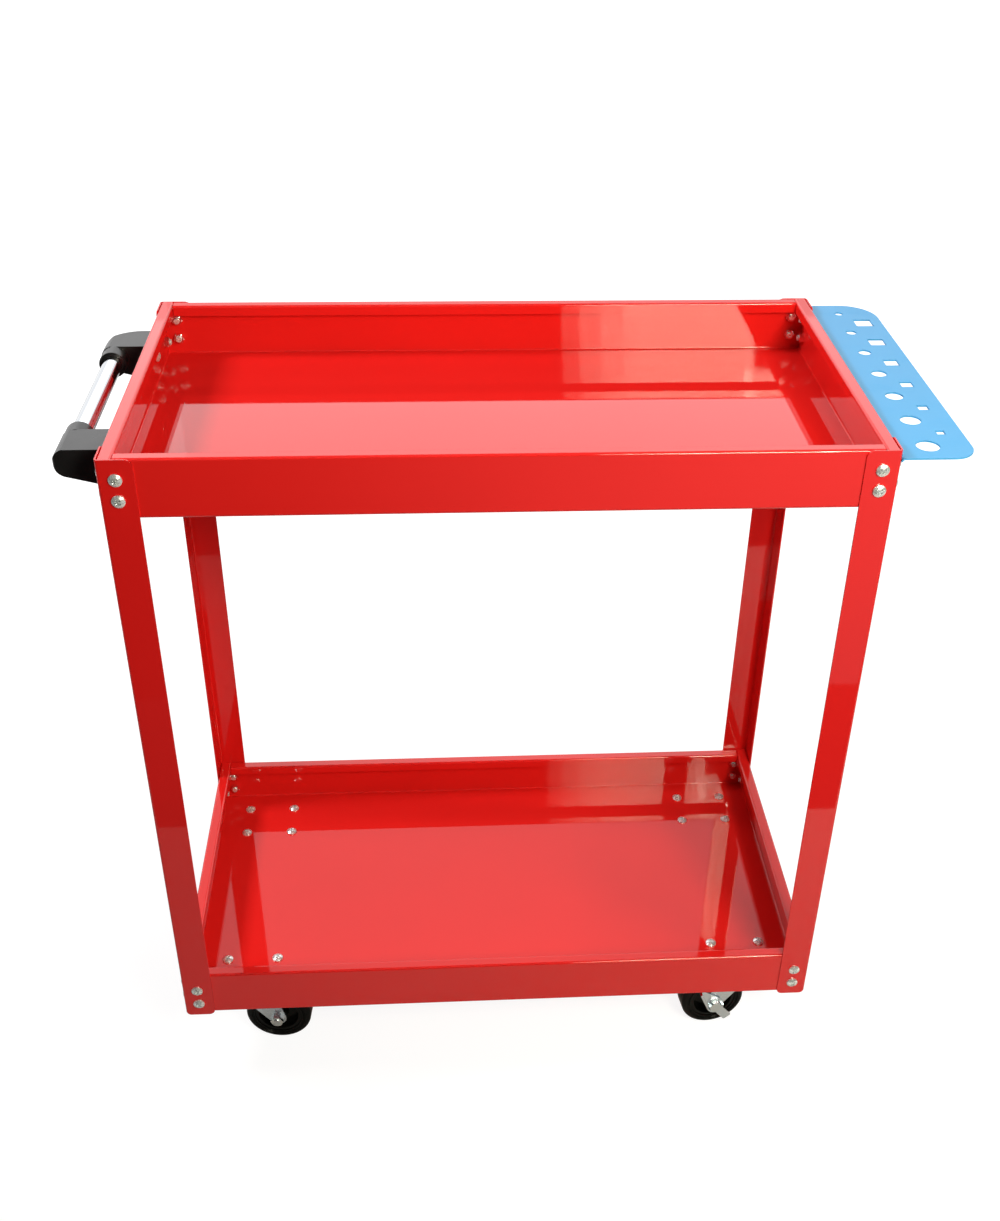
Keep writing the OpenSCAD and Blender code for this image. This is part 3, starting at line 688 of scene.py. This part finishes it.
def ring_tree() -> ShapeTree:
    """A tree that lays a thin ring round each site, at the site's radius.

    Returns:
        The tree, with the inputs Sides, Turn, Ridge and Finish.
    """
    inputs = {"Sides": "int", "Turn": "float", "Ridge": "float", "Finish": "finish"}
    tree = ShapeTree("thin_ring", inputs)
    outline = {"Resolution": tree.size("Sides"), "Radius": 1.0}
    circle = tree.add("GeometryNodeCurvePrimitiveCircle", {}, outline)
    angle = tree.add("ShaderNodeCombineXYZ", {}, {"Z": tree.size("Turn")})
    turned = tree.add("GeometryNodeTransform", {}, {"Geometry": circle, "Rotation": angle})
    rings = tree.stand(turned, by_radius=True)
    section = {"Resolution": BEAD_SIDES, "Radius": tree.size("Ridge")}
    profile = tree.add("GeometryNodeCurvePrimitiveCircle", {}, section)
    sweep = {"Curve": rings, "Profile Curve": profile}
    tree.close(tree.add("GeometryNodeCurveToMesh", {}, sweep))
    return tree


@dataclass
class Wardrobe:
    """The cart's finishes, by the material slots of the record."""

    materials: dict[str, bpy.types.Material]
    slots: dict[str, str]
    nodes: dict[str, bpy.types.Object]

    @classmethod
    def fill(cls, frame: dict[str, Any]) -> "Wardrobe":
        """Builds every finish.


        Returns:
            The wardrobe.
        """
        zinc: Color = (0.87, 0.90, 0.90)
        finishes = {
            "leg_red": GlossPowderCoat("leg_red_gloss", (0.73, 0.013, 0.012)),
            "tray_red": GlossPowderCoat("tray_red_gloss", (0.75, 0.015, 0.013)),
            "bracket_dark": MouldedBlack(
                "bracket_satin_black", (0.009, 0.009, 0.010), 0.25, ior=1.55
            ),
            "tube_chrome": PolishedChrome("tube_polished_chrome", (0.64, 0.665, 0.70)),
            "plate_blue": SatinPowderCoat("plate_blue_satin", (0.07, 0.385, 0.78)),
            "screw_zinc": ZincPlate("screw_bright_zinc", zinc, 0.22, metallic=0.7),
            "nut_zinc": ZincPlate("nut_bright_zinc", zinc, 0.14),
            "caster_zinc": ZincPlate(
                "caster_pressed_zinc", (0.70, 0.77, 0.84), 0.20, Grain.ALONG_X, 0.4 * MM
            ),
            "pin_steel": ZincPlate("kingpin_zinc", (0.66, 0.67, 0.68), 0.30),
            "ball_steel": PolishedChrome(
                "ball_bearing_steel", (0.80, 0.80, 0.81), 0.08, Grain.EVEN
            ),
            "bolt_zinc": ZincPlate("axle_bolt_zinc", (0.72, 0.76, 0.79), 0.16),
            "sleeve_steel": ZincPlate(
                "sleeve_ground_steel", (0.60, 0.61, 0.62), 0.30, Grain.ALONG_Y
            ),
            "wheel_black": MouldedBlack("wheel_moulded_black", (0.003, 0.003, 0.003), 0.16),
            "tyre_black": MouldedBlack(
                "tyre_polished_rubber",
                (0.003, 0.003, 0.003),
                0.13,
                Pattern(0.9 * MM, 3.0, 0.65),
                0.4 * MM,
            ),
            "lever_zinc": ZincPlate(
                "lever_pressed_zinc", (0.74, 0.81, 0.88), 0.16, Grain.EVEN, 0.35 * MM
            ),
        }
        materials = {slot: finish.material() for slot, finish in finishes.items()}
        slots = {part["node"]: part["material_slot"] for part in frame["record"]["subparts"]}
        return cls(materials, slots, frame["nodes"])

    def dress(self, nodes: Sequence[str]) -> None:
        """Gives some of the frame's nodes their finish.

        Args:
            nodes: The nodes' names.
        """
        for name in nodes:
            mesh = self.nodes[name].data
            finish = self.materials[self.slots[name]]
            if len(mesh.materials) == 0:
                mesh.materials.append(finish)
            for i in range(len(mesh.materials)):
                mesh.materials[i] = finish
            LOG.info("%s: %s", name, finish.name)

    def hang(self, piece: bpy.types.Object, body: str) -> None:
        """Puts a new piece on the body that it moves with."""
        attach(piece, body)


@dataclass
class Thread:
    """A metric thread."""

    radius: float
    pitch: float
    ridge: float
    steps: int = 14

    def sizes(self, length: float, finish: bpy.types.Material) -> dict[str, Any]:
        """The values that the thread tree needs.

        Args:
            length: The length of thread that shows.
            finish: The ridge's finish.

        Returns:
            The values by the input's name.
        """
        return {
            "Pitch": self.pitch,
            "Turns": length / self.pitch,
            "Radius": self.radius,
            "Ridge": self.ridge,
            "Steps": self.steps,
            "Finish": finish,
        }


M6 = Thread(2.94 * MM, 1.0 * MM, 0.2 * MM)
M8 = Thread(3.92 * MM, 1.25 * MM, 0.24 * MM)


@dataclass
class Carcass:
    """The four legs and two trays, with the screws that hold them together."""

    centre_x: float = CENTRE_X
    half_length: float = 350.0 * MM
    half_width: float = 186.0 * MM
    screw_inset: float = 16.0 * MM
    upper_levels: tuple[float, float] = (761.0 * MM, 740.5 * MM)
    lower_levels: tuple[float, float] = (107.0 * MM, 127.5 * MM)
    nut_face: float = 7.7 * MM
    tip: float = 1.5 * MM

    def nodes(self) -> list[str]:
        """The nodes of this sub-assembly.

        Returns:
            Their names.
        """
        legs = ["leg_" + corner.label for corner in Corner]
        kinds = ("_tray", "_tray_screws", "_tray_nuts")
        return legs + [tier + kind for tier in ("upper", "lower") for kind in kinds]

    def tips(self) -> list[Site]:
        """Where the screw tips leave their nuts.

        Returns:
            One site per screw.
        """
        sites = []
        for corner in Corner:
            sx, sy = corner.value
            for level in self.upper_levels + self.lower_levels:
                end = Vector((
                    self.centre_x + sx * (self.half_length - self.nut_face),
                    sy * (self.half_width - self.screw_inset),
                    level,
                ))
                side = Vector((
                    self.centre_x + sx * (self.half_length - self.screw_inset),
                    sy * (self.half_width - self.nut_face),
                    level,
                ))
                sites.append(Site(end, Vector((-sx, 0, 0)), M6.radius))
                sites.append(Site(side, Vector((0, -sy, 0)), M6.radius))
        return sites

    def build(self, wardrobe: Wardrobe, threads: ShapeTree) -> None:
        """Dresses the nodes and winds the threads.

        Args:
            wardrobe: The finishes.
            threads: The tree that winds threads.
        """
        wardrobe.dress(self.nodes())
        finish = wardrobe.materials["screw_zinc"]
        piece = threads.build("leg_screw_threads", self.tips(), M6.sizes(self.tip, finish))
        wardrobe.hang(piece, "cart")


@dataclass
class PushHandle:
    """The tube and the two brackets that hold it."""

    def build(self, wardrobe: Wardrobe) -> None:
        """Dresses the tube, its brackets and their screws from the wardrobe."""
        brackets = ["handle_bracket_front", "handle_bracket_rear"]
        wardrobe.dress(brackets + ["handle_tube", "handle_screws"])


@dataclass
class ToolPlate:
    """The perforated plate at the right end."""

    leg_face: float = 339.0 * MM
    top: float = 771.5 * MM
    sheet: float = 1.5 * MM
    pitch: float = 53.5 * MM
    round_row: float = 30.7 * MM
    round_sizes: tuple[float, float] = (9.0 * MM, 22.0 * MM)
    round_count: int = 7
    square_row: float = 50.7 * MM
    square_sizes: tuple[float, float] = (18.5 * MM, 8.0 * MM)
    square_count: int = 6
    round_sides: int = 48
    square_sides: int = 4
    bead: float = 0.2 * MM
    sunk: float = 0.08 * MM

    def rims(
        self, row: float, sizes: tuple[float, float], count: int, reach: float
    ) -> list[Site]:
        """Where the beads of paint lie round the holes of a row.

        Args:
            row: From the legs to the row.
            sizes: The sizes of the first and last hole.
            count: The number of holes.
            reach: A hole's radius over its size.

        Returns:
            Two sites per hole, above and below.
        """
        sites = []
        for i in range(count):
            size = sizes[0] + (sizes[1] - sizes[0]) * i / (count - 1)
            y = ((count - 1) / 2 - i) * self.pitch
            for z in (self.top - self.sunk, self.top - self.sheet + self.sunk):
                place = Vector((self.leg_face + row, y, z))
                sites.append(Site(place, Vector((0, 0, 1)), size * reach))
        return sites

    def build(self, wardrobe: Wardrobe, rings: ShapeTree) -> None:
        """Dresses the plate and lays the beads of paint.

        Args:
            wardrobe: The finishes.
            rings: The tree that lays rings.
        """
        wardrobe.dress(["tool_plate"])
        finish = wardrobe.materials["plate_blue"]
        rounds = self.rims(self.round_row, self.round_sizes, self.round_count, 0.5)
        half_diagonal = math.sqrt(0.5)
        squares = self.rims(self.square_row, self.square_sizes, self.square_count, half_diagonal)
        shapes = (
            ("round_hole_beads", rounds, self.round_sides, 0.0),
            ("square_hole_beads", squares, self.square_sides, math.pi / self.square_sides),
        )
        for name, sites, sides, turn in shapes:
            sizes = {"Sides": sides, "Turn": turn, "Ridge": self.bead, "Finish": finish}
            wardrobe.hang(rings.build(name, sites, sizes), "cart")


@dataclass
class CasterPlates:
    """What of the casters stays with the cart: plates, kingpins, balls and their fasteners."""

    centre_x: float = CENTRE_X
    spread: tuple[float, float] = CASTER_SPREAD
    pattern: tuple[float, float] = (57.0 * MM, 45.0 * MM)
    nut_under: float = 83.5 * MM
    tip: float = 1.5 * MM

    def tips(self) -> list[Site]:
        """Where the caster screws' tips leave their nuts.

        Returns:
            One site per screw.
        """
        sites = []
        for corner in Corner:
            sx, sy = corner.value
            for dx in (-0.5, 0.5):
                for dy in (-0.5, 0.5):
                    place = Vector((
                        self.centre_x + sx * self.spread[0] + dx * self.pattern[0],
                        sy * self.spread[1] + dy * self.pattern[1],
                        self.nut_under,
                    ))
                    sites.append(Site(place, Vector((0, 0, -1)), M6.radius))
        return sites

    def build(self, wardrobe: Wardrobe, threads: ShapeTree) -> None:
        """Dresses the nodes and winds the threads.

        Args:
            wardrobe: The finishes.
            threads: The tree that winds threads.
        """
        plates = ["caster_plate_" + corner.label for corner in Corner]
        shared = ["caster_screws", "caster_nuts", "kingpins", "kingpin_nuts", "swivel_balls"]
        wardrobe.dress(plates + shared)
        finish = wardrobe.materials["screw_zinc"]
        piece = threads.build("caster_screw_threads", self.tips(), M6.sizes(self.tip, finish))
        wardrobe.hang(piece, "cart")


@dataclass
class Caster:
    """One swivel caster, at a heading in degrees, with a brake lever where it is braked."""

    corner: Corner
    heading: float
    braked: bool
    centre_x: float = CENTRE_X
    spread: tuple[float, float] = CASTER_SPREAD
    trail: float = 29.5 * MM
    axle_level: float = 37.5 * MM
    nut_face: float = 22.7 * MM
    tip: float = 1.4 * MM
    sidewall: float = 12.0 * MM
    ring_radii: tuple[float, float] = (32.7 * MM, 28.6 * MM)
    ring_ridge: float = 0.3 * MM
    ring_sides: int = 96

    @property
    def axis(self) -> Vector:
        """The axle's direction, towards the lever's side."""
        turn = math.radians(self.heading)
        return Vector((-math.sin(turn), math.cos(turn), 0))

    @property
    def axle(self) -> Vector:
        """The wheel's centre.

        Returns:
            The point.
        """
        sx, sy = self.corner.value
        turn = math.radians(self.heading)
        return Vector((
            self.centre_x + sx * self.spread[0] + self.trail * math.cos(turn),
            sy * self.spread[1] + self.trail * math.sin(turn),
            self.axle_level,
        ))

    def build(self, wardrobe: Wardrobe, threads: ShapeTree, rings: ShapeTree) -> None:
        """Dresses the caster, winds the axle's thread and lays the tyre's rings.

        Args:
            wardrobe: The finishes.
            threads: The tree that winds threads.
            rings: The tree that lays rings.
        """
        label = self.corner.label
        kinds = ["fork_", "axle_bolt_", "axle_nut_", "sleeve_", "wheel_core_", "tyre_"]
        if self.braked:
            kinds.append("brake_lever_")
        wardrobe.dress([kind + label for kind in kinds])
        end = Site(self.axle - self.axis * self.nut_face, -self.axis, M8.radius)
        bolt = wardrobe.materials["bolt_zinc"]
        thread = threads.build("axle_thread_" + label, [end], M8.sizes(self.tip, bolt))
        wardrobe.hang(thread, "swivel_" + label)
        sites = [
            Site(self.axle + self.axis * side * self.sidewall, self.axis, radius)
            for side in (-1, 1)
            for radius in self.ring_radii
        ]
        rubber = wardrobe.materials["tyre_black"]
        sizes = {
            "Sides": self.ring_sides,
            "Turn": 0.0,
            "Ridge": self.ring_ridge,
            "Finish": rubber,
        }
        raised = rings.build("tyre_rings_" + label, sites, sizes)
        wardrobe.hang(raised, "wheel_" + label)


@dataclass(frozen=True)
class SoftBox:
    """A rectangular studio lamp that faces a point."""

    name: str
    place: tuple[float, float, float]
    target: tuple[float, float, float]
    size: tuple[float, float]
    radiance: float
    color: Color = WHITE
    mirrored: bool = True

    def build(self) -> None:
        """Hangs the lamp."""
        lamp = bpy.data.lights.new(self.name, "AREA")
        lamp.shape = "RECTANGLE"
        lamp.color = self.color
        lamp.size, lamp.size_y = self.size
        lamp.energy = self.radiance * math.pi * self.size[0] * self.size[1]
        holder = bpy.data.objects.new(self.name, lamp)
        place = Vector(self.place)
        aim = (Vector(self.target) - place).to_track_quat("-Z", "Y")
        holder.matrix_world = Matrix.Translation(place) @ aim.to_matrix().to_4x4()
        holder.visible_camera = False
        holder.visible_glossy = self.mirrored
        bpy.context.scene.collection.objects.link(holder)


@dataclass
class Studio:
    """The floor, the lamps, the white room and the camera of the picture."""

    floor_half: float = 9.0
    floor_front: float = -0.6
    # The floor's paint, darkening to the second tone towards the left and the front: painted shade
    # on the floor, which the cart's walls mirror.
    floor_bright: Color = (0.78, 0.78, 0.78)
    floor_painted_shade: Color = (0.32, 0.32, 0.32)
    painted_shade_across: tuple[float, float] = (-0.75, 0.65)
    painted_shade_along: tuple[float, float] = (-0.2, 0.8)
    floor_glow: float = 1.35
    glow_share: float = 0.66
    shadow_reach: tuple[float, float] = (0.7, 1.8)
    card_low: tuple[float, float] = (-2.0, -3.0)
    card_high: tuple[float, float] = (3.0, -0.9)
    card_glow: float = 0.6
    card_fade: tuple[float, float] = (-0.7, 1.1)
    room_light: float = 0.05
    camera_place: tuple[float, float, float] = (-0.07263, -1.26962, 1.32730)
    right: tuple[float, float, float] = (0.99785, -0.06296, 0.01816)
    up: tuple[float, float, float] = (0.01951, 0.55006, 0.83489)
    ahead: tuple[float, float, float] = (0.06256, 0.83274, -0.55011)
    image: tuple[int, int] = (1000, 1221)
    focal_pixels: float = 1400.62
    middle: tuple[float, float] = (525.14, 618.23)
    sensor: float = 36.0
    farthest: float = 60.0
    lamps: tuple[SoftBox, ...] = (
        SoftBox("backdrop", (0.0, 3.2, 2.3), (0.0, 0.0, 2.3), (7.0, 4.6), 1.15),
        SoftBox("bright_band", (0.0, 3.1, 2.27), (0.0, 0.0, 2.27), (7.0, 0.66), 0.75),
        SoftBox("left_panel", (-2.1, 3.0, 2.2), (-2.1, 0.0, 2.2), (2.4, 0.8), 0.35),
        SoftBox("key", (0.525, -1.35, 1.47), (0.615, 0.0, 0.87), (0.31, 0.47), 35.0, WARM),
        SoftBox("key_edge", (0.345, -1.35, 1.47), (0.435, 0.0, 0.87), (0.05, 0.47), 27.0, WARM),
        SoftBox(
            "key_soft_edge", (0.295, -1.35, 1.47), (0.385, 0.0, 0.87), (0.05, 0.47), 18.0, WARM
        ),
        SoftBox("key_faint_edge", (0.25, -1.35, 1.47), (0.34, 0.0, 0.87), (0.04, 0.47), 8.0, WARM),
        SoftBox("key_wing", (0.73, -1.35, 1.72), (0.82, 0.0, 1.12), (0.10, 0.56), 36.0, WARM),
        SoftBox("right_fill", (1.45, -1.2, 1.5), (0.3, -0.1, 0.6), (0.4, 0.4), 10.0, WARM),
        SoftBox("left_lamp", (-1.88, 0.1, 2.3), (0.0, 0.0, 0.6), (0.55, 0.55), 42.0),
        SoftBox("overhead", (0.1, 0.45, 2.7), (0.1, 0.45, 0.6), (1.2, 0.6), 2.3, mirrored=False),
        SoftBox("top_panel", (0.4, -1.25, 2.7), (0.1, -0.1, 0.6), (3.0, 1.2), 0.35),
    )

    @staticmethod
    def sheet(
        name: str,
        low: tuple[float, float],
        high: tuple[float, float],
        material: bpy.types.Material,
    ) -> bpy.types.Object:
        """Lays a flat sheet at floor level.

        Args:
            name: The sheet's name.
            low: Its corner with the lowest x and y.
            high: Its corner with the highest.
            material: Its material.

        Returns:
            The sheet.
        """
        mesh = bpy.data.meshes.new(name)
        (left, front), (right, back) = low, high
        corners = [(left, front, 0), (right, front, 0), (right, back, 0), (left, back, 0)]
        mesh.from_pydata(corners, [], [(0, 1, 2, 3)])
        mesh.materials.append(material)
        sheet = bpy.data.objects.new(name, mesh)
        bpy.context.scene.collection.objects.link(sheet)
        return sheet

    def floor(self) -> None:
        """Lays the pale floor, which keeps the cart's shadow and is white further off."""
        graph = FinishGraph("pale_floor")
        # Painted shade: the paint darkens towards the left and the front of the floor.
        across = graph.coordinate(0).over(*self.painted_shade_across)
        along = graph.coordinate(1).over(*self.painted_shade_along)
        tone = graph.blend((1.0 - across) * (1.0 - along), self.floor_bright, self.floor_painted_shade)
        dull = {"Base Color": tone, "Roughness": 1.0, "Specular IOR Level": 0.0}
        paint = graph.signal("ShaderNodeBsdfPrincipled", {}, dull)
        white = {"Color": WHITE, "Strength": self.floor_glow}
        glow = graph.signal("ShaderNodeEmission", {}, white)
        seen = graph.signal("ShaderNodeLightPath", {}, {}, CAMERA_RAY)
        length = {"operation": "LENGTH"}
        reach = graph.signal("ShaderNodeVectorMath", length, {0: graph.place()}, VECTOR_LENGTH)
        share = self.glow_share + reach.over(*self.shadow_reach) * (1.0 - self.glow_share)
        mixed = graph.signal("ShaderNodeMixShader", {}, {"Fac": seen * share, 1: paint, 2: glow})
        graph.close("ShaderNodeOutputMaterial", mixed)
        half = self.floor_half
        self.sheet("floor", (-half, self.floor_front), (half, half), graph.material)

    def front_card(self) -> None:
        """Lays a dim card before the floor, hidden from the camera, that the front walls mirror."""
        graph = FinishGraph("front_card")
        shade = graph.blend(graph.coordinate(0).over(*self.card_fade), BLACK, WHITE)
        inputs = {"Color": shade, "Strength": self.card_glow}
        graph.close("ShaderNodeOutputMaterial", graph.signal("ShaderNodeEmission", {}, inputs))
        card = self.sheet("front_card", self.card_low, self.card_high, graph.material)
        card.visible_camera = False

    def room(self) -> None:
        """Makes the world a dim room that the camera sees as white."""
        world = bpy.data.worlds.new("dim_room")
        bpy.context.scene.world = world
        world.use_nodes = True
        graph = NodeGraph(world.node_tree)
        seen = graph.signal("ShaderNodeLightPath", {}, {}, CAMERA_RAY)
        strength = self.room_light + seen * (1.0 - self.room_light)
        inputs = {"Color": WHITE, "Strength": strength}
        graph.close("ShaderNodeOutputWorld", graph.signal("ShaderNodeBackground", {}, inputs))

    def camera(self) -> None:
        """Sets the camera where the photograph was taken from."""
        lens = bpy.data.cameras.new("camera")
        tall = max(self.image)
        lens.sensor_width = self.sensor
        lens.lens = self.focal_pixels * lens.sensor_width / tall
        lens.shift_x = (self.image[0] / 2 - self.middle[0]) / tall
        lens.shift_y = (self.middle[1] - self.image[1] / 2) / tall
        lens.clip_end = self.farthest
        holder = bpy.data.objects.new("camera", lens)
        axes = Matrix((self.right, self.up, [-c for c in self.ahead])).transposed()
        holder.matrix_world = Matrix.Translation(self.camera_place) @ axes.to_4x4()
        bpy.context.scene.collection.objects.link(holder)
        bpy.context.scene.camera = holder

    def build(self) -> None:
        """Sets up the whole studio."""
        self.camera()
        self.floor()
        self.front_card()
        self.room()
        for lamp in self.lamps:
            lamp.build()
        bpy.context.scene.view_settings.view_transform = "Standard"


def main() -> None:
    """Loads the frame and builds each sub-assembly in order."""
    logging.basicConfig(level=logging.INFO, format="%(name)s: %(message)s")
    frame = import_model()
    Studio().build()
    wardrobe = Wardrobe.fill(frame)
    threads, rings = thread_tree(), ring_tree()
    Carcass().build(wardrobe, threads)
    PushHandle().build(wardrobe)
    ToolPlate().build(wardrobe, rings)
    CasterPlates().build(wardrobe, threads)
    casters = (
        Caster(Corner.FRONT_LEFT, heading=-5.0, braked=False),
        Caster(Corner.FRONT_RIGHT, heading=187.5, braked=True),
        Caster(Corner.REAR_LEFT, heading=4.0, braked=False),
        Caster(Corner.REAR_RIGHT, heading=8.0, braked=True),
    )
    for caster in casters:
        caster.build(wardrobe, threads, rings)


if __name__ == "__main__":
    main()
